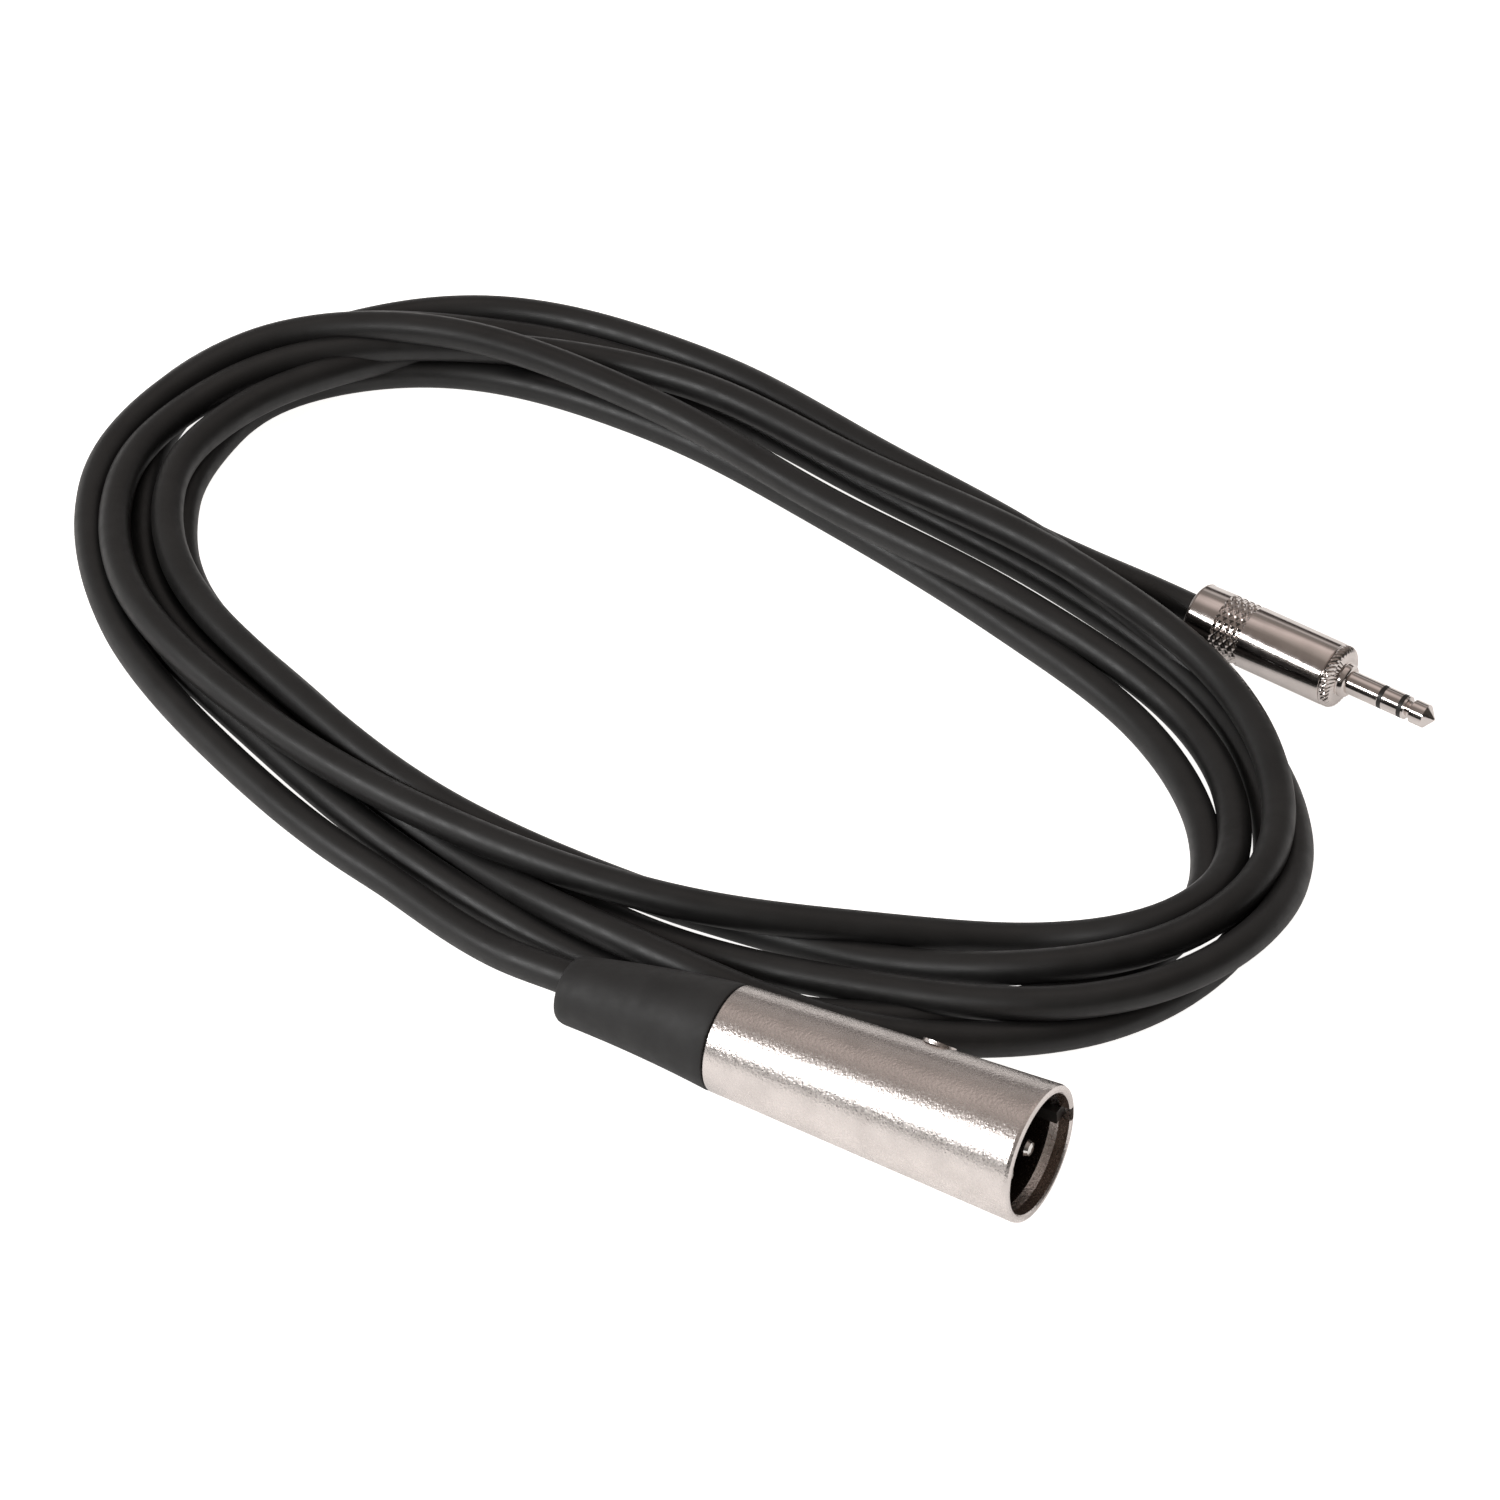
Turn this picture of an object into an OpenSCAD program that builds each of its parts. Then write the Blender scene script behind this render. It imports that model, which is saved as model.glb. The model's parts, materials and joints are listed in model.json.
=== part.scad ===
// Audio lead, loosely coiled: a three-pin male XLR connector at one end
// and a three-contact 3.5 mm plug at the other.
// +Z is up and z = 0 is the surface that the lead lies on.
// The origin is under the middle of the whole coil.

/* [Cable] */
// Outer diameter of the cable jacket
cable_d = 4.8; // [4.4:0.1:5]
// Diameter of each insulated conductor
core_d = 1.3; // [1:0.1:1.4]
// Clearance between the jacket and the holes it runs through
cable_gap = 0.35; // [0.2:0.05:0.5]
// Height of the bundle of turns
coil_height = 12; // [10:0.5:14]

/* [XLR shell] */
// Length of the metal shell
shell_length = 46.6; // [44:0.1:50]
// Shell diameter where it meets the boot
shell_rear_d = 15; // [14.6:0.1:15.4]
// Shell diameter at the mating end
shell_front_d = 19; // [18.6:0.1:19.4]
// Diameter of the socket that takes the female connector
mouth_d = 16.1; // [16:0.05:16.3]
// Depth of the socket, from the rim to the insert
mouth_depth = 14.6; // [13:0.1:15.5]
// Wall thickness of the rear of the shell
shell_wall = 0.9; // [0.8:0.05:1]

/* [XLR contacts] */
// Contact pin diameter
pin_d = 2.4; // [2.3:0.05:2.5]
// Diameter of the circle that the pins stand on
pin_circle_d = 8; // [7.6:0.1:8.2]
// How far the pin tips stop short of the rim
pin_recess = 2.8; // [2:0.1:4]

/* [XLR boot] */
// Length of the boot behind the shell
boot_length = 24.5; // [22:0.1:27]
// Boot diameter at its rear end
boot_rear_d = 9.8; // [9:0.1:11]
// Distance that the boot unscrews
boot_travel = 4; // [2:0.5:5]

/* [Plug barrel] */
// Length of the barrel
barrel_length = 23.3; // [21:0.1:25]
// Barrel diameter
barrel_d = 9.5; // [9:0.1:10]
// Barrel wall thickness
barrel_wall = 0.6; // [0.5:0.05:0.7]

/* [Plug contacts] */
// Plug diameter
plug_d = 3.5; // [3.45:0.01:3.52]
// Plug length from its shoulder to its point
plug_length = 14; // [13.8:0.1:15]
// Width of each insulating ring
ring_gap = 0.7; // [0.6:0.05:0.9]

/* [Hidden] */
$fn = 96;

// Where each connector lies: a point on its axis and its [roll, pitch, heading]
xlr_at = [-1, -70.1, 7.52];
xlr_turn = [0, -2.5, -30.4];
jack_at = [67.1, 21.5, 4.9];
jack_turn = [0, 0, -36.8];

// The turns follow one oval. Each row is one turn's sideways offsets from that oval
// at 16 stations, from station_start down.
oval_centre = [-12.3, 12.7];
oval_angle = -38;
oval_a = 92;
oval_b = 49;
station_start = 270;
station_step = 22.5;
stations = 16;
turn_offset = [
    [10, 7.5, 7, 6, 4, 4, 0.5, -2, -8, -4.5, 3, 3, 1, -9, -8.5, -2.5],
    [0.5, 2, 4, 1.5, -1.5, -0.5, 3, 6.5, 1.5, 4.5, 9.5, 9, 5.5, 0.5, -5, -7],
    [-3.5, -5, -4, -6, -8, -5, 7, 8, 3.5, 5.5, 9, 8, 8, 9.5, 11, 6.5],
    [-0.5, -3, -1, -1.5, 2.5, 10.5, 19.5, 15, 6, 7.5, 12.5, 11.5, 11, 8.5, 2.5, 0],
    [-4.5, -8, -6, -7.5, -7, -1, 2.5, -1, -6, -6.5, -3, -1, 0.5, 2, 6.5, 8.5],
    [4.5, 1.5, 3, 2.5, 6.5, 8, 13.5, 11.5, 8]];
outline_steps = 4;

// Route of the lead from the XLR boot to the first station, past the straight exit
xlr_exit = boot_length + 4;
xlr_lead_bend = [[-31.5, -51.7, 5.4], [-38.1, -45.3, 4.2], [-43.4, -39.5, 3.5]];
lead_height = [3, 2.5];
// Route of the lead from the last station to the plug, before the straight entry
jack_entry = 5;
jack_lead_bend = [[33.5, 50.3, 2.5], [43, 41.7, 3], [52, 33.3, 4.2]];
tube_sides = 12;

// XLR sizes, measured along the axis from the joint between boot and shell
mouth_floor = shell_length - mouth_depth;
insert_flange = 8;
insert_rear = 12;
step_r = shell_rear_d / 2 - shell_wall + 0.5;
rear_bore_r = shell_rear_d / 2 - shell_wall;
screw_s = mouth_floor - 3.8;
screw_angle = 42;
screw_head_r = 2.3;
screw_seat = 0.2;
screw_rise = 0.3;
pin_angles = [-45, 135, 225];
key_w = 2;
nut_length = 8;
shank_r = pin_d / 2 + 0.3;
jacket_end = 2;
cup_length = 5;
hole_gap = 0.05;

// Plug sizes, measured along the axis from the rear rim of the barrel
collar_front = barrel_length + 1.7;
shoulder = barrel_length + 2.8;
plug_end = shoulder + plug_length;
thread_rear = barrel_length - 4;
ring_1 = shoulder + 5.55;
ring_2 = shoulder + 8.85;
hub_rear = thread_rear - 2;
jacket_stop = 9;
barrel_travel = 3;
cavity_r = barrel_d / 2 - barrel_wall;

function catmull(a, b, c, d, f) =
    0.5 * (2 * b + (c - a) * f + (2 * a - 5 * b + 4 * c - d) * f * f
        + (3 * b - a - 3 * c + d) * f * f * f);

function along(t) = [-oval_a * sin(t), oval_b * cos(t)];
function turned(p) = [
    p[0] * cos(oval_angle) - p[1] * sin(oval_angle),
    p[0] * sin(oval_angle) + p[1] * cos(oval_angle)];
function outward(t) = let (d = turned(along(t)) / norm(along(t))) [d[1], -d[0]];
function oval_point(t, offset) =
    oval_centre + turned([oval_a * cos(t), oval_b * sin(t)]) + offset * outward(t);

function at_station(i) = [for (row = turn_offset) if (i < len(row)) row[i]];
outer_edge = [for (i = [0:stations - 1]) max(at_station(i)) + cable_d / 2];
inner_edge = [for (i = [0:stations - 1]) min(at_station(i)) - cable_d / 2];

function edge_at(edge, u) = let (i = floor(u), n = stations)
    catmull(edge[(i + n - 1) % n], edge[i % n], edge[(i + 1) % n], edge[(i + 2) % n], u - i);
function outline(edge) = [for (j = [0:stations * outline_steps - 1])
    let (u = j / outline_steps) oval_point(station_start - station_step * u, edge_at(edge, u))];

function heading(turn) = [cos(turn[2]) * cos(turn[1]), sin(turn[2]) * cos(turn[1]), -sin(turn[1])];
function on_axis(at, turn, s) = at + s * heading(turn);

first_turn = turn_offset[0];
last_turn = turn_offset[len(turn_offset) - 1];
coil_start = concat(oval_point(station_start, first_turn[0]), lead_height[0]);
coil_end = concat(
    oval_point(station_start - station_step * (len(last_turn) - 1), last_turn[len(last_turn) - 1]),
    lead_height[1]);
xlr_lead = concat(
    [for (s = [-jacket_end, -boot_length / 2, -boot_length, -xlr_exit]) on_axis(xlr_at, xlr_turn, s)],
    xlr_lead_bend, [coil_start]);
jack_lead = concat(
    [coil_end], jack_lead_bend,
    [for (s = [-jack_entry, 0, jacket_stop]) on_axis(jack_at, jack_turn, s)]);

function unit(v) = v / norm(v);
function tangent(path, i) =
    unit(path[min(i + 1, len(path) - 1)] - path[max(i - 1, 0)]);
function ring(path, i) = let (t = tangent(path, i), side = unit(cross([0, 0, 1], t)), up = cross(t, side))
    [for (k = [0:tube_sides - 1]) let (a = 360 * k / tube_sides)
        path[i] + cable_d / 2 * (cos(a) * side + sin(a) * up)];

// A closed tube of the cable's diameter through the points of a path
module tube(path) {
    n = tube_sides;
    last = (len(path) - 1) * n;
    polyhedron(
        points = [for (i = [0:len(path) - 1]) each ring(path, i)],
        faces = concat(
            [[for (k = [0:n - 1]) k]],
            [for (i = [0:len(path) - 2], k = [0:n - 1])
                [i * n + k, (i + 1) * n + k, (i + 1) * n + (k + 1) % n, i * n + (k + 1) % n]],
            [[for (k = [n - 1:-1:0]) last + k]]));
}

// Puts the children, drawn along +X, where a connector lies
module place(at, turn) {
    translate(at) rotate(turn) children();
}

// A body of revolution about +X from a list of [position along X, radius]
module turned_part(profile) {
    rotate([0, 90, 0]) rotate_extrude() polygon([for (p = profile) [p[1], p[0]]]);
}

// A rod along +X from s0 to s1, off the axis by r at an angle from +Y towards +Z
module rod(s0, s1, radius, r = 0, angle = 0) {
    translate([s0, r * cos(angle), r * sin(angle)])
        rotate([0, 90, 0]) cylinder(h = s1 - s0, r = radius);
}

function shell_r(s) = (shell_rear_d + (shell_front_d - shell_rear_d) * s / shell_length) / 2;

// ---------------------------------------------------------------- cable

module cable_coil() {
    color("dimgray") difference() {
        linear_extrude(coil_height) difference() {
            polygon(outline(outer_edge));
            polygon(outline(inner_edge));
        }
        place(jack_at, jack_turn) rod(-jack_entry, barrel_length, barrel_d / 2 + 0.5);
        place(xlr_at, xlr_turn) turned_part([
            [-xlr_exit - 1, 0], [-xlr_exit - 1, boot_rear_d / 2 + 0.8],
            [0, shell_rear_d / 2 + 0.8], [mouth_floor, shell_front_d / 2 + 0.8], [mouth_floor, 0]]);
    }
}

module cable_lead_xlr() {
    color("dimgray") tube(xlr_lead);
}

module cable_lead_jack() {
    color("dimgray") tube(jack_lead);
}

// ---------------------------------------------------------------- XLR connector

module xlr_shell() {
    rim = 0.6;
    mouth_r = mouth_d / 2;
    color("silver") place(xlr_at, xlr_turn) difference() {
        turned_part([
            [0, rear_bore_r], [0, shell_r(0) - 0.3], [0.3, shell_r(0)],
            [shell_length - rim, shell_r(shell_length - rim)],
            [shell_length - rim / 4, shell_front_d / 2 - rim / 4],
            [shell_length, shell_front_d / 2 - rim],
            [shell_length, mouth_r + 0.45], [shell_length - 0.2, mouth_r + 0.25],
            [shell_length - 1.7, mouth_r + 0.25], [shell_length - 2.9, mouth_r],
            [mouth_floor - insert_flange, mouth_r], [mouth_floor - insert_flange, step_r],
            [insert_rear - 2, step_r], [insert_rear - 2, rear_bore_r]]);
        translate([mouth_floor - 1.1, 0, -key_w / 2 - hole_gap])
            cube([mouth_depth + 1.2, mouth_r + 0.35, key_w + 2 * hole_gap]);
        translate([shell_length - 2.3, 0, -key_w / 2 - hole_gap])
            cube([2.4, shell_front_d / 2 - 0.5, key_w + 2 * hole_gap]);
        screw_place() {
            cylinder(h = 4, r = 1.05, center = true);
            translate([0, 0, -screw_seat]) cylinder(h = 1, r = screw_head_r + hole_gap);
        }
    }
}

// Black insulator that carries the pins, with the long key that guides the mating part
module xlr_insert() {
    mouth_r = mouth_d / 2 - hole_gap;
    color("black") place(xlr_at, xlr_turn) difference() {
        union() {
            rod(mouth_floor - insert_flange, mouth_floor, mouth_r);
            rod(insert_rear, mouth_floor, step_r - hole_gap);
            intersection() {
                translate([mouth_floor - 1, 0, -key_w / 2]) cube([mouth_depth - 0.4, 9, key_w]);
                rotate([0, 90, 0]) rotate_extrude() union() {
                    translate([7, mouth_floor - 1]) square([mouth_r + 0.3 - 7, mouth_depth - 0.4]);
                    translate([7, shell_length - 2.2]) square([shell_front_d / 2 - 7.6, 0.8]);
                }
            }
        }
        for (a = pin_angles) rod(insert_rear - 1, mouth_floor + 1, shank_r + 0.01, pin_circle_d / 2, a);
        screw_place() cylinder(h = 9, r = 0.8, center = true);
    }
}

// The screw's own frame: +Z points out of the shell
module screw_place() {
    translate([screw_s, 0, 0]) rotate([screw_angle, 0, 0])
        translate([0, shell_r(screw_s), 0]) rotate([-90, 0, 0]) children();
}

module xlr_insert_screw() {
    color("silver") place(xlr_at, xlr_turn) screw_place() difference() {
        union() {
            translate([0, 0, -screw_seat]) cylinder(h = screw_seat + screw_rise, r = screw_head_r);
            translate([0, 0, -3.5]) cylinder(h = 3.6, r = 0.78);
        }
        for (a = [0, 90]) rotate([0, 0, a]) translate([-1.4, -0.25, 0.05]) cube([2.8, 0.5, 1]);
    }
}

// One contact: a round-ended pin in front and a solder cup behind
module xlr_pin(angle) {
    tip = shell_length - pin_recess;
    color("lightgray") place(xlr_at, xlr_turn)
        translate([0, pin_circle_d / 2 * cos(angle), pin_circle_d / 2 * sin(angle)]) difference() {
            turned_part([
                [insert_rear - cup_length, 0], [insert_rear - cup_length, shank_r],
                [mouth_floor, shank_r], [mouth_floor, pin_d / 2],
                [tip - 0.7, pin_d / 2], [tip - 0.2, pin_d / 2 - 0.25], [tip, 0.4], [tip, 0]]);
            rod(insert_rear - cup_length - 1, insert_rear - 1.5, core_d / 2 + 0.05);
        }
}

module xlr_pin_1() { xlr_pin(pin_angles[0]); }
module xlr_pin_2() { xlr_pin(pin_angles[1]); }
module xlr_pin_3() { xlr_pin(pin_angles[2]); }

// One conductor from the cut end of the jacket to the cup of a pin
module xlr_core(angle, bunch, radius) {
    place(xlr_at, xlr_turn) union() {
        r = pin_circle_d / 2;
        p = [for (q = [[radius - jacket_end, bunch], [1, bunch], [insert_rear - cup_length - 2, r],
                       [insert_rear - cup_length + 2.5, r]])
            [q[0], q[1] * cos(angle), q[1] * sin(angle)]];
        for (i = [0:2]) hull() {
            translate(p[i]) sphere(r = radius, $fn = 16);
            translate(p[i + 1]) sphere(r = radius, $fn = 16);
        }
    }
}

module xlr_core_hot() { color("firebrick") xlr_core(pin_angles[1], core_d * 0.75, core_d / 2); }
module xlr_core_cold() { color("white") xlr_core(pin_angles[2], core_d * 0.75, core_d / 2); }
module xlr_drain() { color("tan") xlr_core(pin_angles[0], core_d * 0.75, core_d * 0.4); }

// Split collet that the boot presses on to the jacket
module xlr_chuck() {
    inner = cable_d / 2 + cable_gap;
    outer = rear_bore_r - 1.7;
    color("ivory") place(xlr_at, xlr_turn) difference() {
        turned_part([
            [-nut_length, inner], [-nut_length, outer - 1], [-nut_length + 2, outer],
            [1.5, outer], [1.5, inner]]);
        for (a = [0, 90]) rotate([a, 0, 0])
            translate([-nut_length - 1, -5, -0.4]) cube([6, 10, 0.8]);
    }
}

// Hard ring inside the boot; its front end screws into the shell
module xlr_boot_nut() {
    inner = rear_bore_r - 1.6;
    color("black") place(xlr_at, xlr_turn) turned_part([
        [-nut_length - 1.5, cable_d / 2 + cable_gap + 0.4],
        [-nut_length - 1.5, 5.4], [0, 6], [0, rear_bore_r - 0.1], [4, rear_bore_r - 0.1],
        [4, inner], [-nut_length + 2, inner], [-nut_length - 0.1, inner - 1.1],
        [-nut_length - 0.1, cable_d / 2 + cable_gap + 0.4]]);
}

module xlr_boot() {
    bore = cable_d / 2 + cable_gap;
    rear_r = boot_rear_d / 2;
    front_r = shell_rear_d / 2 - 0.1;
    color("black") place(xlr_at, xlr_turn) turned_part([
        [-boot_length, bore], [-boot_length, rear_r - 1], [-boot_length + 0.3, rear_r - 0.4],
        [-boot_length + 1.2, rear_r], [-1, front_r], [-0.1, front_r],
        [-0.1, 6], [-nut_length - 1.5, 5.4], [-nut_length - 1.5, bore]]);
}

// ---------------------------------------------------------------- 3.5 mm plug

// Turned front piece: threaded neck, ribbed collar, boss and the sleeve contact
module jack_body() {
    neck_r = cavity_r - 0.05;
    color("silver") place(jack_at, jack_turn) turned_part([
        [thread_rear, 1.3], [thread_rear, neck_r], [barrel_length + 0.05, neck_r],
        [barrel_length + 0.05, barrel_d / 2 - 0.1], [barrel_length + 0.9, barrel_d / 2 - 0.02],
        [barrel_length + 1.3, barrel_d / 2 - 0.35], [collar_front - 0.1, barrel_d / 2 - 1.4],
        [collar_front, plug_d / 2 + 0.75],
        [shoulder - 0.2, plug_d / 2 + 0.75], [shoulder, plug_d / 2 + 0.4], [shoulder, plug_d / 2],
        [ring_1 - ring_gap / 2, plug_d / 2], [ring_1 - ring_gap / 2, 1.3]]);
}

// Solder tab of the sleeve, ending in the claw that grips the jacket
module jack_ground_lug() {
    claw_r = cable_d / 2 + 0.4;
    color("silver") place(jack_at, jack_turn) {
        difference() {
            rod(thread_rear - 0.4, thread_rear, 3.2);
            rod(thread_rear - 1, thread_rear + 1, 1.6);
        }
        translate([jacket_stop - 2, -0.9, -3.1]) cube([thread_rear - jacket_stop + 1.8, 1.8, 0.4]);
        difference() {
            rod(jacket_stop - 3.5, jacket_stop - 0.5, claw_r);
            rod(jacket_stop - 4, jacket_stop, cable_d / 2 + 0.02);
            translate([jacket_stop - 4, -1.2, 0]) cube([4, 2.4, 4]);
        }
    }
}

// Rear insulator: a bush inside the sleeve with a black ring outside it
module jack_insulator_rear() {
    color("black") place(jack_at, jack_turn) turned_part([
        [hub_rear, 0.95], [hub_rear, 1.28], [ring_1 - ring_gap / 2, 1.28],
        [ring_1 - ring_gap / 2, plug_d / 2], [ring_1 + ring_gap / 2, plug_d / 2],
        [ring_1 + ring_gap / 2, 0.95]]);
}

module jack_ring() {
    color("silver") place(jack_at, jack_turn) union() {
        turned_part([
            [hub_rear - 1.2, 0.68], [hub_rear - 1.2, 0.93], [ring_1 + ring_gap / 2, 0.93],
            [ring_1 + ring_gap / 2, plug_d / 2], [ring_2 - ring_gap / 2, plug_d / 2],
            [ring_2 - ring_gap / 2, 0.68]]);
        translate([hub_rear - 1.2, 0.75, -0.7]) cube([0.3, 1.7, 1.4]);
    }
}

module jack_insulator_front() {
    color("black") place(jack_at, jack_turn) turned_part([
        [hub_rear - 2.2, 0.45], [hub_rear - 2.2, 0.66], [ring_2 - ring_gap / 2, 0.66],
        [ring_2 - ring_gap / 2, plug_d / 2], [ring_2 + ring_gap / 2, plug_d / 2],
        [ring_2 + ring_gap / 2, 0.45]]);
}

// Tip contact: waisted, then a cylinder and a point, with the rod that runs back through it
module jack_tip() {
    start = ring_2 + ring_gap / 2;
    color("silver") place(jack_at, jack_turn) union() {
        turned_part([
            [hub_rear - 3.4, 0], [hub_rear - 3.4, 0.43], [start, 0.43], [start, plug_d / 2],
            [start + 0.35, plug_d / 2], [start + 0.75, 1.2], [start + 0.95, 1.2],
            [start + 1.3, plug_d / 2], [plug_end - 1.4, plug_d / 2],
            [plug_end - 0.1, 0.2], [plug_end, 0]]);
        translate([hub_rear - 3.4, -2.2, -0.6]) cube([0.3, 2.2, 1.2]);
    }
}

// One conductor from the cut end of the jacket to a solder tab, at an angle from +Y towards +Z
module jack_core(s_end, r_end, angle, radius) {
    place(jack_at, jack_turn) hull() {
        for (q = [[jacket_stop + radius, core_d * 0.75], [s_end, r_end]])
            translate([q[0], q[1] * cos(angle), q[1] * sin(angle)]) sphere(r = radius, $fn = 16);
    }
}

module jack_core_tip() { color("firebrick") jack_core(hub_rear - 4.1, 1.7, 180, core_d / 2); }
module jack_core_ring() { color("white") jack_core(hub_rear - 1.9, 1.9, 0, core_d / 2); }
module jack_drain() { color("tan") jack_core(hub_rear - 0.5, 2.3, 270, core_d * 0.3); }

// Insulating tube that keeps the barrel off the solder tabs
module jack_liner() {
    color("white") place(jack_at, jack_turn) difference() {
        rod(4, thread_rear - 0.6, cavity_r - 0.1);
        rod(3, thread_rear, cavity_r - 0.35);
    }
}

module jack_barrel() {
    r = barrel_d / 2;
    bore = cable_d / 2 + cable_gap;
    color("silver") place(jack_at, jack_turn) turned_part([
        [0, bore], [0, r - 0.5], [0.15, r - 0.15], [0.5, r], [barrel_length - 0.2, r],
        [barrel_length, r - 0.2], [barrel_length, cavity_r], [3.9, cavity_r], [3.9, bore]]);
}

cable_coil();
cable_lead_xlr();
cable_lead_jack();
xlr_shell();
xlr_insert();
xlr_pin_1();
xlr_pin_2();
xlr_pin_3();
xlr_insert_screw();
xlr_core_hot();
xlr_core_cold();
xlr_drain();
xlr_chuck();
xlr_boot_nut();
xlr_boot();
jack_body();
jack_ground_lug();
jack_insulator_rear();
jack_ring();
jack_insulator_front();
jack_tip();
jack_core_tip();
jack_core_ring();
jack_drain();
jack_liner();
jack_barrel();
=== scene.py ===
"""Looks of a loosely coiled audio lead. Lengths are in millimetres until they reach Blender."""

import json
import math

import bpy
from mathutils import Euler, Matrix, Vector


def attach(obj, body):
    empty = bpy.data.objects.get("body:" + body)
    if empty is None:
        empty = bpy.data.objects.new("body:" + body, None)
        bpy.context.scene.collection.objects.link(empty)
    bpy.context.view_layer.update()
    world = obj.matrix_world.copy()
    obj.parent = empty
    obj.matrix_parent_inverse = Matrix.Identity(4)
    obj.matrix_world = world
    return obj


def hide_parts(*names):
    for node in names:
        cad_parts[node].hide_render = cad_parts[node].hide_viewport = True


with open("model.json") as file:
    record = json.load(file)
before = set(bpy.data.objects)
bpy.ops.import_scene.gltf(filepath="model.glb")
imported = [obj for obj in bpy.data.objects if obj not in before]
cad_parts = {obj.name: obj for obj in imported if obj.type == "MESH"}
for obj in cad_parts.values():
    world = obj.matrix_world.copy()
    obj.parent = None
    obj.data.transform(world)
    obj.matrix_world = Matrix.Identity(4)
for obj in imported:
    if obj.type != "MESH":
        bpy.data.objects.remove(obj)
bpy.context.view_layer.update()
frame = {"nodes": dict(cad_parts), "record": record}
nodes = frame["nodes"]
scene = bpy.context.scene
MM = 0.001


# ------------------------------------------------------------------ camera

AIM = Vector((1.7, -3.3, 0.0))
CAMERA_OFFSET = Vector((0.0, -566.0, 492.0))

camera_data = bpy.data.cameras.new("camera")
camera_data.lens = 126
camera_data.sensor_width = 36
camera_data.clip_start = 0.05
camera_data.clip_end = 20
camera = bpy.data.objects.new("camera", camera_data)
camera.location = (AIM + CAMERA_OFFSET) * MM
camera.rotation_euler = (-CAMERA_OFFSET).to_track_quat("-Z", "Y").to_euler()
scene.collection.objects.link(camera)
scene.camera = camera


# ------------------------------------------------------------------ where the connectors lie

def placement(at, turn):
    """The matrix that puts something drawn along +X, in millimetres, where a connector lies."""
    spin = Euler([math.radians(a) for a in turn], "XYZ").to_matrix().to_4x4()
    return Matrix.Scale(MM, 4) @ Matrix.Translation(at) @ spin


XLR_AT = (-1, -70.1, 7.52)
XLR_TURN = (0, -2.5, -30.4)
JACK_AT = (67.1, 21.5, 4.9)
JACK_TURN = (0, 0, -36.8)
XLR = placement(XLR_AT, XLR_TURN)
JACK = placement(JACK_AT, JACK_TURN)
BOOT_LENGTH = 24.5


def on_axis(place, s):
    """A point of a connector's axis, in millimetres."""
    return place @ Vector((s, 0, 0)) / MM


# ------------------------------------------------------------------ cord

CABLE_D = 4.8

# The turns follow one oval. Each row is one turn's sideways offsets from that oval, or its
# heights, at the stations from STATION_START down.
OVAL_CENTRE = (-12.3, 12.7)
OVAL_ANGLE = math.radians(-38)
OVAL_A = 92
OVAL_B = 49
STATION_START = 270
STATION_STEP = 22.5
TURN_OFFSET = [
    [10, 7.5, 7, 6, 4, 4, 0.5, -2, -8, -4.5, 3, 3, 1, -9, -8.5, -2.5],
    [0.5, 2, 4, 1.5, -1.5, -0.5, 3, 6.5, 1.5, 4.5, 9.5, 9, 5.5, 0.5, -5, -7],
    [-3.5, -5, -4, -6, -8, -5, 7, 8, 3.5, 5.5, 9, 8, 8, 9.5, 11, 6.5],
    [-0.5, -3, -1, -1.5, 2.5, 10.5, 19.5, 15, 6, 6.5, 10.4, 11.5, 11, 8.5, 2.5, 0],
    [-4.5, -8, -6, -7.5, -7, -1, 2.5, -1, -6, -6.5, -3, -1, 0.5, 2, 6.5, 8.5],
    [4.5, 1.5, 3, 2.5, 6.5, 8, 13.5, 11.5, 8],
]
TURN_HEIGHT = [
    [3, 2.5, 2.5, 5, 6.5, 9.5, 11.5, 7.5, 7, 6, 3, 4.5, 7, 2.5, 5, 7.5],
    [8, 7, 7, 7, 7, 8, 7.5, 6.5, 8, 9, 7.5, 7, 8, 6.5, 2.5, 2.5],
    [6.5, 7, 7, 7, 7, 7, 3.5, 2.5, 2.5, 2.5, 2.5, 2.5, 2.5, 2.5, 5, 7],
    [2.5, 2.5, 2.5, 2.5, 2.5, 2.5, 2.5, 4, 7, 7, 2.5, 3.5, 7, 7, 4.5, 2.5],
    [2.5] * 16,
    [2.5, 2.5, 2.5, 2.5, 3.5, 6.5, 2.5, 2.5, 2.5],
]
XLR_BEND = [(-31.5, -51.7, 5.4), (-38.1, -45.3, 4.2), (-43.4, -39.5, 3.5)]
JACK_BEND = [(33.5, 50.3, 2.5), (43, 41.7, 3), (52, 33.3, 4.2)]

# Where the cord is straight, as places along each connector's axis
XLR_STRAIGHT = (-2, -6, -10, -14, -18, -22, -BOOT_LENGTH, -28.3)
JACK_STRAIGHT = (-9, -5, 0, 3, 6, 9)

STATION_STEPS = 6
KNOT_STEPS = 4
ROUTE_STEP = 1.0
ROUTE_ROUNDS = 12
CORD_STEP = 1.8
CORD_ROUNDS = 3


def catmull(a, b, c, d, f):
    """Catmull-Rom value at fraction f of the way from b to c."""
    return 0.5 * (2 * b + (c - a) * f + (2 * a - 5 * b + 4 * c - d) * f * f
                  + (3 * b - a - 3 * c + d) * f * f * f)


def row_value(row, u):
    """A row of numbers read at a fractional index."""
    i = min(int(u), len(row) - 2)
    picks = [row[min(max(k, 0), len(row) - 1)] for k in (i - 1, i, i + 1, i + 2)]
    return catmull(*picks, u - i)


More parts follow.
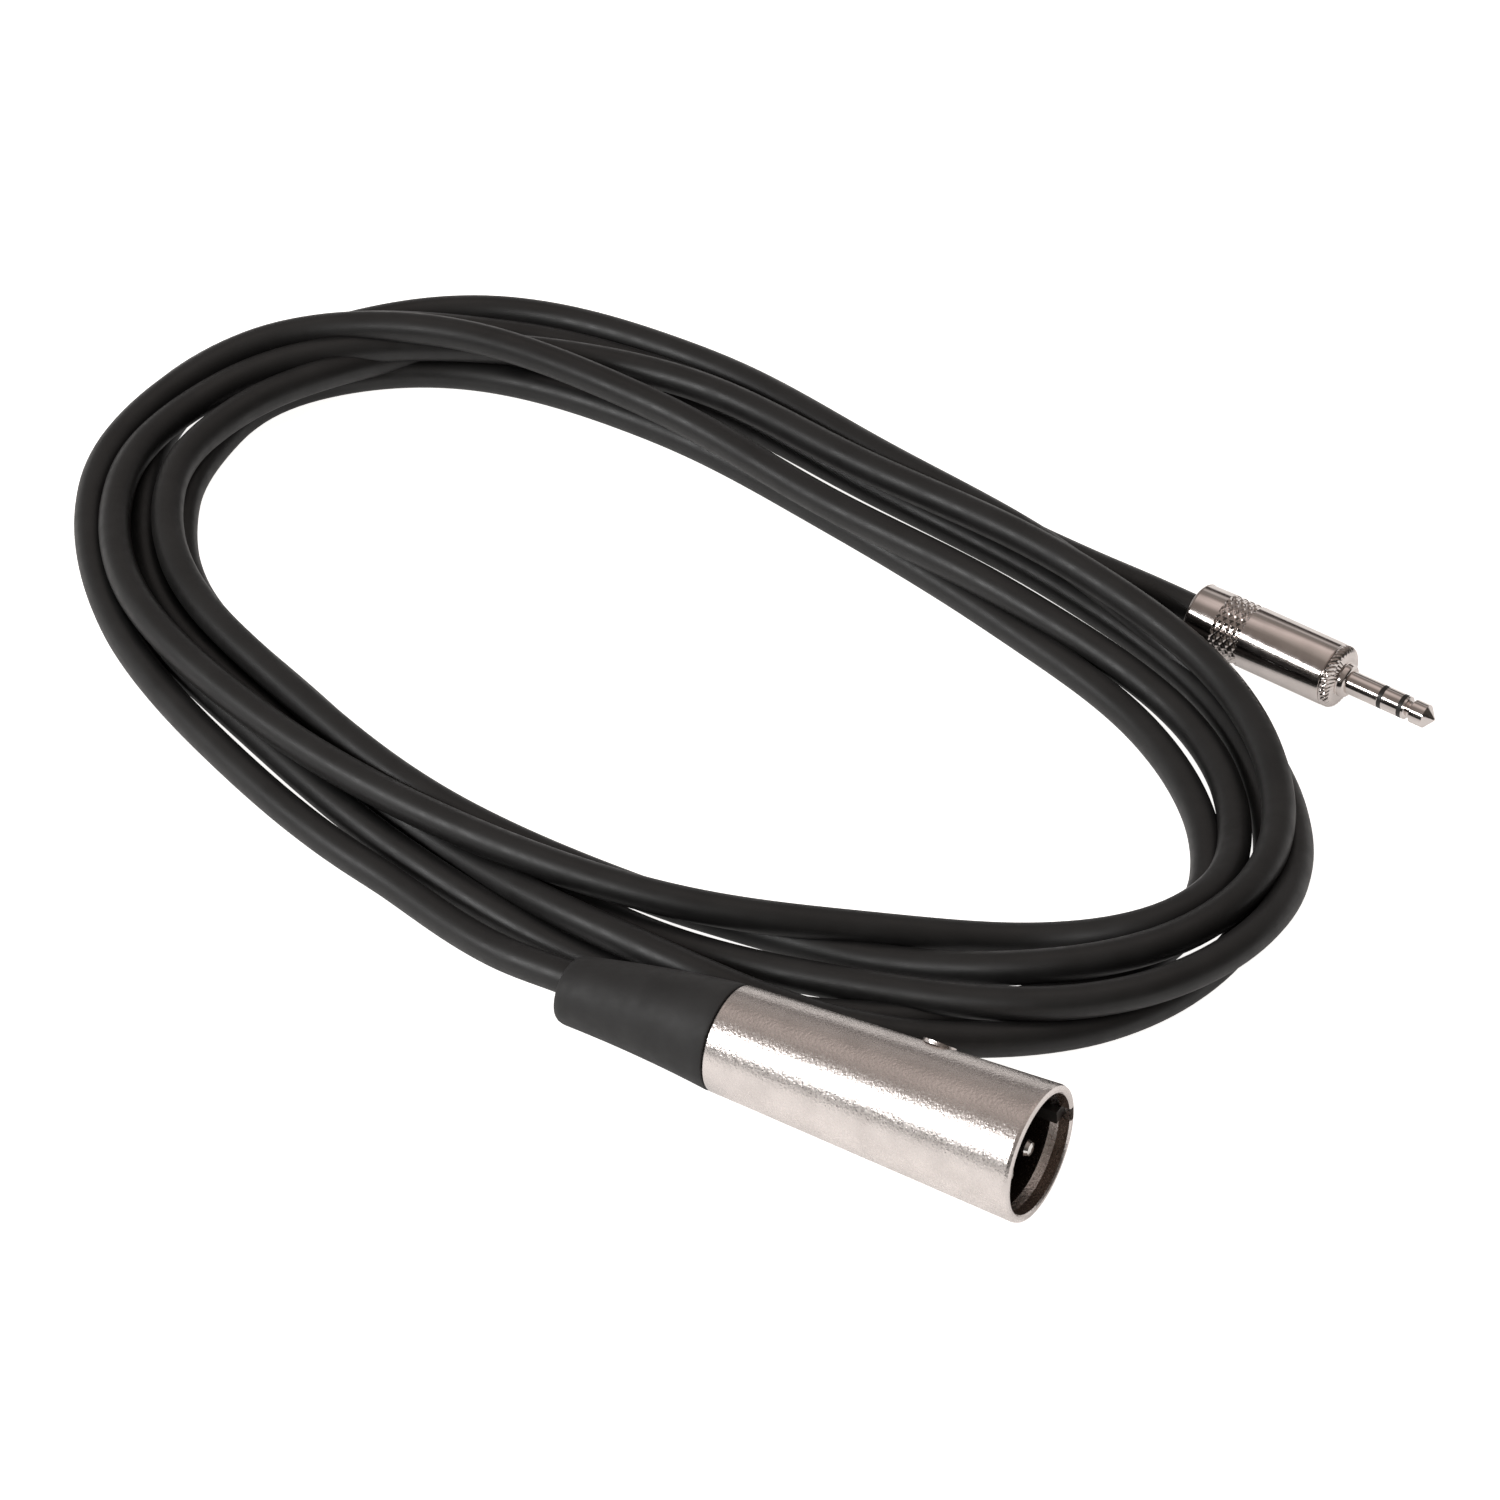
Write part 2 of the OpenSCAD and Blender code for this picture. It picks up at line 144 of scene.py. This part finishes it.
def oval_point(degrees, offset, height):
    """A point beside the oval that the turns follow."""
    t = math.radians(degrees)
    ca, sa = math.cos(OVAL_ANGLE), math.sin(OVAL_ANGLE)
    x, y = OVAL_A * math.cos(t), OVAL_B * math.sin(t)
    dx, dy = -OVAL_A * math.sin(t), OVAL_B * math.cos(t)
    size = math.hypot(dx, dy)
    tx, ty = (dx * ca - dy * sa) / size, (dx * sa + dy * ca) / size
    return Vector((OVAL_CENTRE[0] + x * ca - y * sa + offset * ty,
                   OVAL_CENTRE[1] + x * sa + y * ca - offset * tx,
                   height))


def spaced(points, step):
    """The polyline's points again, a fixed step apart."""
    out = [points[0]]
    left = step
    for a, b in zip(points, points[1:]):
        length = (b - a).length
        done = 0.0
        while length - done >= left:
            done += left
            out.append(a.lerp(b, done / length))
            left = step
        left -= length - done
    return out


def smoothed(points, rounds):
    """Relaxes a line of points, and leaves its two ends where they are."""
    for _ in range(rounds):
        middle = [(a + 2 * b + c) / 4 for a, b, c in zip(points, points[1:], points[2:])]
        points = [points[0], *middle, points[-1]]
    return points


def lead_route():
    """The centreline of the whole lead, from the jacket's end in the XLR to its end in the plug."""
    offsets = [v for row in TURN_OFFSET for v in row]
    heights = [v for row in TURN_HEIGHT for v in row]
    coil = []
    for j in range((len(offsets) - 1) * STATION_STEPS + 1):
        u = j / STATION_STEPS
        coil.append(oval_point(STATION_START - STATION_STEP * u,
                               row_value(offsets, u), row_value(heights, u)))
    start = [on_axis(XLR, s) for s in XLR_STRAIGHT]
    end = [on_axis(JACK, s) for s in JACK_STRAIGHT]
    knots = start + [Vector(p) for p in XLR_BEND] + coil + [Vector(p) for p in JACK_BEND] + end
    dense = []
    for i in range(len(knots) - 1):
        a, b, c, d = (knots[min(max(k, 0), len(knots) - 1)] for k in (i - 1, i, i + 1, i + 2))
        dense += [catmull(a, b, c, d, f / KNOT_STEPS) for f in range(KNOT_STEPS)]
    route = smoothed(spaced([*dense, knots[-1]], ROUTE_STEP), ROUTE_ROUNDS)
    for p in route:
        p.z = max(p.z, CABLE_D / 2)
    return spaced(smoothed(route, CORD_ROUNDS), CORD_STEP)


def cord_curve(name, points, diameter):
    """A round cord along the points."""
    data = bpy.data.curves.new(name, "CURVE")
    data.dimensions = "3D"
    data.bevel_depth = 1.0
    data.bevel_resolution = 6
    data.use_fill_caps = True
    spline = data.splines.new("POLY")
    spline.points.add(len(points) - 1)
    for target, p in zip(spline.points, points):
        target.co = (*(p * MM), 1)
        target.radius = diameter / 2 * MM
    spline.use_smooth = True
    obj = bpy.data.objects.new(name, data)
    scene.collection.objects.link(obj)
    return obj


cable = cord_curve("cable", lead_route(), CABLE_D)
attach(cable, "lead")
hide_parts("cable_coil", "cable_lead_xlr", "cable_lead_jack")


# ------------------------------------------------------------------ materials

def material(name, base, rough, metallic=0.0):
    """A Principled material, its node tree, and its shader."""
    mat = bpy.data.materials.new(name)
    mat.use_nodes = True
    tree = mat.node_tree
    shader = tree.nodes["Principled BSDF"]
    shader.inputs["Base Color"].default_value = (*base, 1)
    shader.inputs["Roughness"].default_value = rough
    shader.inputs["Metallic"].default_value = metallic
    return mat, tree, shader


def noise(tree, scale, detail=2.0):
    """A noise texture in object space."""
    coords = tree.nodes.new("ShaderNodeTexCoord").outputs["Object"]
    texture = tree.nodes.new("ShaderNodeTexNoise")
    texture.inputs["Scale"].default_value = scale
    texture.inputs["Detail"].default_value = detail
    tree.links.new(coords, texture.inputs["Vector"])
    return texture.outputs["Fac"]


def ramp(tree, source, stops):
    """A colour ramp on source; stops are (position, (r, g, b))."""
    node = tree.nodes.new("ShaderNodeValToRGB")
    elements = node.color_ramp.elements
    while len(elements) < len(stops):
        elements.new(0.5)
    for element, (position, colour) in zip(elements, stops):
        element.position = position
        element.color = (*colour, 1)
    tree.links.new(source, node.inputs["Fac"])
    return node.outputs["Color"]


def colour_mix(tree, factor, first, second):
    """A blend from the first colour to the second."""
    node = tree.nodes.new("ShaderNodeMix")
    node.data_type = "RGBA"
    tree.links.new(factor, node.inputs["Factor"])
    tree.links.new(first, node.inputs["A"])
    tree.links.new(second, node.inputs["B"])
    return node.outputs["Result"]


def vary(tree, source, low, high, socket):
    """Drives a number socket from low to high while source goes from 0.3 to 0.7."""
    node = tree.nodes.new("ShaderNodeMapRange")
    node.inputs["From Min"].default_value = 0.3
    node.inputs["From Max"].default_value = 0.7
    node.inputs["To Min"].default_value = low
    node.inputs["To Max"].default_value = high
    tree.links.new(source, node.inputs["Value"])
    tree.links.new(node.outputs["Result"], socket)


def bump(tree, source, distance, shader):
    """Gives the shader a bump of that height, in millimetres."""
    node = tree.nodes.new("ShaderNodeBump")
    node.inputs["Distance"].default_value = distance * MM
    node.inputs["Strength"].default_value = 1.0
    tree.links.new(source, node.inputs["Height"])
    tree.links.new(node.outputs["Normal"], shader.inputs["Normal"])


def moulded(name, base, rough, grain=0.004, scale=9000, gloss=0.5):
    """Plastic or rubber: fine grain, faint unevenness of colour and gloss."""
    mat, tree, shader = material(name, base, rough)
    shader.inputs["Specular IOR Level"].default_value = gloss
    soft = noise(tree, 140)
    light = tuple(min(1, c * 1.25) for c in base)
    dark = tuple(c * 0.8 for c in base)
    tree.links.new(ramp(tree, soft, [(0.3, dark), (0.7, light)]), shader.inputs["Base Color"])
    vary(tree, noise(tree, 420), rough - 0.05, rough + 0.06, shader.inputs["Roughness"])
    bump(tree, noise(tree, scale), grain, shader)
    return mat


def plated(name, base, rough, grain, scale, spread=0.05, patch=600):
    """Plated metal: a fine cast or polished grain and a slight tarnish."""
    mat, tree, shader = material(name, base, rough, 1.0)
    dark = tuple(c * 0.9 for c in base)
    tree.links.new(ramp(tree, noise(tree, 260), [(0.35, dark), (0.65, base)]),
                   shader.inputs["Base Color"])
    vary(tree, noise(tree, patch), rough - spread, rough + spread, shader.inputs["Roughness"])
    bump(tree, noise(tree, scale, 3.0), grain, shader)
    return mat


def within(tree, source, low, high):
    """1 where a number is between low and high, in millimetres, and 0 elsewhere."""
    steps = []
    for limit in (low, high):
        node = tree.nodes.new("ShaderNodeMath")
        node.operation = "GREATER_THAN"
        node.inputs[1].default_value = limit * MM
        tree.links.new(source, node.inputs[0])
        steps.append(node.outputs["Value"])
    node = tree.nodes.new("ShaderNodeMath")
    node.operation = "SUBTRACT"
    for socket, step in zip(node.inputs, steps):
        tree.links.new(step, socket)
    return node.outputs["Value"]


def product(tree, first, second):
    """Two numbers multiplied."""
    node = tree.nodes.new("ShaderNodeMath")
    node.operation = "MULTIPLY"
    for socket, value in zip(node.inputs, (first, second)):
        tree.links.new(value, socket)
    return node.outputs["Value"]


SOCKET_WALL = (7.0, 8.4)

# Start and end along the axis, colour, and how metallic. The first band is painted shade: the deep bore
# drawn near black and hardly metallic.
SOCKET_BANDS = [
    (30, 43.75, (0.02, 0.013, 0.01), 0.2),
    (44.9, 46.35, (0.3, 0.22, 0.18), 0.8),
]


def paint_socket_shade(mat):
    """The shell's socket with painted shade: the deep bore painted near black and hardly metallic, and
    rough, darker brown metal between its bright ring and the rim.
    """
    tree = mat.node_tree
    shader = tree.nodes["Principled BSDF"]
    local = tree.nodes.new("ShaderNodeMapping")
    local.vector_type = "TEXTURE"
    local.inputs["Location"].default_value = [c * MM for c in XLR_AT]
    local.inputs["Rotation"].default_value = [math.radians(a) for a in XLR_TURN]
    tree.links.new(tree.nodes.new("ShaderNodeTexCoord").outputs["Object"], local.inputs["Vector"])
    parts = tree.nodes.new("ShaderNodeSeparateXYZ")
    tree.links.new(local.outputs["Vector"], parts.inputs["Vector"])
    flat = tree.nodes.new("ShaderNodeCombineXYZ")
    tree.links.new(parts.outputs["Y"], flat.inputs["Y"])
    tree.links.new(parts.outputs["Z"], flat.inputs["Z"])
    distance = tree.nodes.new("ShaderNodeVectorMath")
    distance.operation = "LENGTH"
    tree.links.new(flat.outputs["Vector"], distance.inputs[0])
    inside = within(tree, distance.outputs["Value"], *SOCKET_WALL)
    for start, end, band_colour, shine in SOCKET_BANDS:
        here = product(tree, inside, within(tree, parts.outputs["X"], start, end))
        colour = tree.nodes.new("ShaderNodeRGB").outputs["Color"]
        colour.default_value = (*band_colour, 1)
        base = shader.inputs["Base Color"]
        before = base.links[0].from_socket
        tree.links.new(colour_mix(tree, here, before, colour), base)
        metal = shader.inputs["Metallic"]
        level = tree.nodes.new("ShaderNodeMapRange")
        level.inputs["To Min"].default_value = 1.0
        level.inputs["To Max"].default_value = shine
        tree.links.new(here, level.inputs["Value"])
        if metal.links:
            tree.links.new(product(tree, metal.links[0].from_socket, level.outputs["Result"]), metal)
        else:
            tree.links.new(level.outputs["Result"], metal)


looks = {
    "jacket": moulded("jacket", (0.011, 0.0107, 0.0105), 0.46, 0.005, 7000, 0.5),
    "boot_rubber": moulded("boot_rubber", (0.021, 0.0206, 0.0204), 0.6, 0.008, 6000, 0.42),
    "satin_nickel": plated("satin_nickel", (0.83, 0.77, 0.74), 0.28, 0.055, 2600, 0.04, 3000),
    "polished_nickel": plated("polished_nickel", (0.8, 0.74, 0.71), 0.13, 0.0006, 5200, 0.03),
    "contact_silver": plated("contact_silver", (0.9, 0.88, 0.85), 0.2, 0.001, 5200, 0.03),
    "black_insulator": moulded("black_insulator", (0.016, 0.014, 0.012), 0.45, 0.004, 8000),
    "chuck_plastic": moulded("chuck_plastic", (0.72, 0.68, 0.58), 0.45),
    "liner_plastic": moulded("liner_plastic", (0.82, 0.82, 0.79), 0.35),
    "core_red": moulded("core_red", (0.5, 0.03, 0.02), 0.4),
    "core_white": moulded("core_white", (0.78, 0.78, 0.75), 0.4),
    "copper": plated("copper", (0.85, 0.5, 0.36), 0.3, 0.03, 2600),
}

# Paints shade into the bore of the shell's socket.
paint_socket_shade(looks["satin_nickel"])

slots = {part["node"]: part["material_slot"] for part in frame["record"]["subparts"]}
for name, obj in nodes.items():
    obj.data.materials.clear()
    obj.data.materials.append(looks[slots[name]])
cable.data.materials.append(looks["jacket"])


# ------------------------------------------------------------------ turned pieces

ROUNDING = 0.12
ROUND_STEPS = 3


def rounded(profile, radius, steps):
    """A closed outline with every corner rounded."""
    out = []
    count = len(profile)
    for i in range(count):
        a, b, c = (Vector(profile[k % count]) for k in (i - 1, i, i + 1))
        back = min(radius, 0.45 * (a - b).length)
        ahead = min(radius, 0.45 * (c - b).length)
        p, q = b + (a - b).normalized() * back, b + (c - b).normalized() * ahead
        for k in range(steps + 1):
            f = k / steps
            out.append(p * (1 - f) ** 2 + b * 2 * f * (1 - f) + q * f * f)
    return out


def lathe(name, profile, place, segments, body, look, relief=None, sag=None):
    """A closed outline of (s, r) turned about a connector's axis.

    relief(s, r, angle) is added to r, and sag(s, r) is a sideways shift.
    """
    vertices = []
    for s, r in profile:
        for k in range(segments):
            angle = 2 * math.pi * k / segments
            radius = r + (relief(s, r, angle) if relief else 0.0)
            point = Vector((s, radius * math.cos(angle), radius * math.sin(angle)))
            vertices.append(place @ (point + sag(s, r) if sag else point))
    rows = len(profile)
    faces = []
    for i in range(rows):
        low, high = i * segments, (i + 1) % rows * segments
        for k in range(segments):
            after = (k + 1) % segments
            faces.append((low + k, low + after, high + after, high + k))
    mesh = bpy.data.meshes.new(name)
    mesh.from_pydata(vertices, [], faces)
    mesh.polygons.foreach_set("use_smooth", [True] * len(mesh.polygons))
    mesh.set_sharp_from_angle(angle=math.radians(24))
    mesh.materials.append(looks[look])
    obj = bpy.data.objects.new(name, mesh)
    scene.collection.objects.link(obj)
    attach(obj, body)
    return obj


def span(first, last, count):
    """count + 1 evenly spaced numbers."""
    return [first + (last - first) * i / count for i in range(count + 1)]


def saw(x):
    """A triangle wave: 0 at whole numbers, 1 half-way between them."""
    return 1 - abs(2 * (x - math.floor(x)) - 1)


BORE_R = 2.75

BOOT_FRONT = -0.5
BOOT_FRONT_R = 7.48
BOOT_TAPER = 0.113
BOOT_SAG = Vector((0, -0.8, -1.05))
SAG_FROM_R = 2.9
SAG_FADE = 1.5
BORE_SAG = 0.35


def boot_sag(s, r):
    """The rubber boot bends down towards its rear, and its bore bends less."""
    outside = min(max((r - SAG_FROM_R) / SAG_FADE, 0.0), 1.0)
    return BOOT_SAG * (s / BOOT_LENGTH) ** 2 * (BORE_SAG + (1 - BORE_SAG) * outside)


def make_boot():
    """The tapered boot behind the XLR shell."""
    profile = [Vector((s - BOOT_LENGTH, r)) for s, r in [
        (0.15, BORE_R), (0, 3.0), (0, 3.8), (0.04, 4.15), (0.2, 4.45), (0.5, 4.68), (0.9, 4.82)]]
    for s in span(1.3 - BOOT_LENGTH, BOOT_FRONT, 18):
        profile.append(Vector((s, BOOT_FRONT_R + BOOT_TAPER * (s - BOOT_FRONT))))
    profile += [Vector(p) for p in [
        (-0.2, 7.4), (-0.1, 7.25), (-0.1, 6), (-9.5, 5.4), (-9.5, BORE_R)]]
    boot = lathe("boot", profile, XLR, 96, "xlr_boot", "boot_rubber", sag=boot_sag)
    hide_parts("xlr_boot")


BARREL_LENGTH = 23.3
BARREL_R = 4.75
CAVITY_START = 3.9
CAVITY_R = 4.15
KNURL_START = 4.8
KNURL_PITCH = 1.12
KNURL_ROWS = 32
KNURL_COUNT = 19
KNURL_STEPS = 8
KNURL_DEPTH = 0.3
KNURL_FLAT = 0.8
KNURL_END = KNURL_START + KNURL_ROWS * KNURL_PITCH / KNURL_STEPS


def knurl(s, r, angle):
    """Diamonds pressed into the rear of the barrel."""
    if r < BARREL_R - 0.01 or not KNURL_START - 0.01 <= s <= KNURL_END + 0.01:
        return 0.0
    along = (s - KNURL_START) / KNURL_PITCH
    around = KNURL_COUNT * angle / (2 * math.pi)
    height = min(saw(around + along), saw(around - along), KNURL_FLAT) / KNURL_FLAT
    return KNURL_DEPTH * (height - 1)


def make_barrel():
    """The plug's barrel, with a knurled band near its rear."""
    rear = rounded([
        (0, BORE_R), (0, BARREL_R - 0.5), (0.15, BARREL_R - 0.15), (0.5, BARREL_R)], ROUNDING, ROUND_STEPS)
    profile = rear[ROUND_STEPS + 1:]
    profile.append(Vector((KNURL_START - 0.12, BARREL_R)))
    profile += [Vector((s, BARREL_R)) for s in span(KNURL_START, KNURL_END, KNURL_ROWS)]
    profile += [Vector(p) for p in [
        (KNURL_END + 0.12, BARREL_R), (BARREL_LENGTH - 0.3, BARREL_R),
        (BARREL_LENGTH - 0.1, BARREL_R - 0.06), (BARREL_LENGTH, BARREL_R - 0.2),
        (BARREL_LENGTH, CAVITY_R), (CAVITY_START, CAVITY_R), (CAVITY_START, BORE_R), (0, BORE_R)]]
    barrel = lathe("barrel", profile, JACK, KNURL_COUNT * KNURL_STEPS, "jack_barrel",
                   "polished_nickel", knurl)
    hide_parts("jack_barrel")
    return barrel


COLLAR_REAR = BARREL_LENGTH + 0.25
COLLAR_FRONT = BARREL_LENGTH + 1.7
SHOULDER = BARREL_LENGTH + 2.8
RING_1 = SHOULDER + 5.55
NECK_START = BARREL_LENGTH - 4
NECK_R = 4.1
PLUG_R = 1.75
HOLE_R = 1.3
THREAD_PITCH = 0.75
THREAD_DEPTH = 0.16
RIBS = 40
RIB_STEPS = 8
RIB_DEPTH = 0.3
RIB_SLANT = 1.6
RIB_INNER_R = 3.1


def collar_relief(s, r, angle):
    """Slanted ribs on the collar's rounded front, and the thread on its neck."""
    if NECK_START + 0.4 < s < BARREL_LENGTH - 0.2 and r > 3:
        return -THREAD_DEPTH * saw(s / THREAD_PITCH + angle / (2 * math.pi))
    part = (s - COLLAR_REAR) / (COLLAR_FRONT - COLLAR_REAR)
    if r < RIB_INNER_R or part < 0:
        return 0.0
    fade = min(1, 6 * part, 2.5 * (r - RIB_INNER_R))
    return -RIB_DEPTH * fade * saw(RIBS * angle / (2 * math.pi) + RIB_SLANT * part)


def make_collar():
    """The plug's body: threaded neck, ribbed collar, shoulder and sleeve."""
    profile = [Vector((NECK_START, HOLE_R)), Vector((NECK_START, NECK_R - 0.3))]
    profile += [Vector((s, NECK_R)) for s in span(NECK_START + 0.3, BARREL_LENGTH + 0.05, 40)]
    profile += [Vector((BARREL_LENGTH + s, r)) for s, r in [
        (0.05, 4.55), (0.12, 4.66), (0.25, 4.72), (0.4, 4.74), (0.55, 4.75), (0.7, 4.74), (0.85, 4.71),
        (1.0, 4.65), (1.14, 4.55), (1.27, 4.41), (1.38, 4.24), (1.48, 4.03), (1.56, 3.8), (1.62, 3.56),
        (1.67, 3.32), (1.7, 3.1), (1.71, 2.68), (1.78, 2.56), (2.3, 2.52), (2.55, 2.42), (2.72, 2.22),
        (2.8, 1.95), (2.8, PLUG_R), (3.0, PLUG_R)]]
    profile += [Vector((RING_1 + s, r)) for s, r in [
        (-0.43, PLUG_R), (-0.35, PLUG_R - 0.05), (-0.35, HOLE_R)]]
    collar = lathe("plug_body", profile, JACK, RIBS * RIB_STEPS, "lead", "polished_nickel",
                   collar_relief)
    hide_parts("jack_body")
    return collar


make_boot()
barrel = make_barrel()
collar = make_collar()


# ------------------------------------------------------------------ floor, lights, surroundings

def floor_material():
    """White paper that glows, so that the camera sees no shadow; its reflections are dimmer."""
    mat, tree, shader = material("floor", (0.8, 0.8, 0.8), 0.9)
    shader.inputs["Emission Color"].default_value = (1, 0.98, 0.96, 1)
    seen = tree.nodes.new("ShaderNodeLightPath").outputs["Is Camera Ray"]
    vary(tree, seen, 0.3, 1.0, shader.inputs["Emission Strength"])
    return mat


FLOOR = 4.0

floor_mesh = bpy.data.meshes.new("floor")
floor_mesh.from_pydata([(-FLOOR, -FLOOR, 0), (FLOOR, -FLOOR, 0), (FLOOR, FLOOR, 0), (-FLOOR, FLOOR, 0)],
                       [], [(0, 1, 2, 3)])
floor_mesh.materials.append(floor_material())
floor = bpy.data.objects.new("floor", floor_mesh)
scene.collection.objects.link(floor)


def softbox(name, direction, distance, width, height, watts):
    """A rectangular light that faces the middle of the coil, in metres."""
    data = bpy.data.lights.new(name, "AREA")
    data.shape = "RECTANGLE"
    data.size = width
    data.size_y = height
    data.energy = watts
    light = bpy.data.objects.new(name, data)
    aim = Vector(direction).normalized()
    light.location = aim * distance
    light.rotation_euler = aim.to_track_quat("Z", "Y").to_euler()
    scene.collection.objects.link(light)
    return light


softbox("key", (-0.76, -0.39, 0.52), 1.2, 0.9, 0.2, 8.5)

# Lights the cord from above, and leaves no patch in the metal
overhead = softbox("overhead", (0.0, 0.0, 1.0), 1.2, 1.0, 1.0, 4)
overhead.visible_glossy = False

# The room is dark in front and bright behind; the camera itself sees a plain pale grey
world = bpy.data.worlds.new("studio")
scene.world = world
world.use_nodes = True
sky = world.node_tree
background = sky.nodes["Background"]
direction = sky.nodes.new("ShaderNodeTexCoord").outputs["Generated"]
split = sky.nodes.new("ShaderNodeSeparateXYZ")
sky.links.new(direction, split.inputs["Vector"])
front = ramp(sky, split.outputs["Z"], [
    (0.0, (0.012, 0.011, 0.01)), (0.2, (0.04, 0.036, 0.032)), (0.5, (0.1, 0.09, 0.08)),
    (0.75, (0.2, 0.17, 0.155)), (0.93, (0.25, 0.22, 0.2)), (1.0, (0.45, 0.4, 0.37))])
back = ramp(sky, split.outputs["Z"], [
    (0.0, (0.95, 0.93, 0.91)), (0.14, (0.9, 0.87, 0.85)), (0.24, (0.05, 0.04, 0.04)),
    (0.42, (0.08, 0.07, 0.065)), (0.56, (0.6, 0.56, 0.54)), (0.66, (0.22, 0.2, 0.19)),
    (0.8, (0.26, 0.23, 0.21)), (0.9, (0.72, 0.63, 0.6)), (1.0, (0.6, 0.53, 0.49))])
side = sky.nodes.new("ShaderNodeMapRange")
side.interpolation_type = "SMOOTHSTEP"
side.inputs["From Min"].default_value = -0.05
side.inputs["From Max"].default_value = 0.35
sky.links.new(split.outputs["Y"], side.inputs["Value"])
room = colour_mix(sky, side.outputs["Result"], front, back)
seen = sky.nodes.new("ShaderNodeLightPath").outputs["Is Camera Ray"]
plain = sky.nodes.new("ShaderNodeRGB").outputs["Color"]
plain.default_value = (0.93, 0.93, 0.93, 1)
sky.links.new(colour_mix(sky, seen, room, plain), background.inputs["Color"])
background.inputs["Strength"].default_value = 1.0

scene.view_settings.view_transform = "Standard"

bpy.context.view_layer.update()
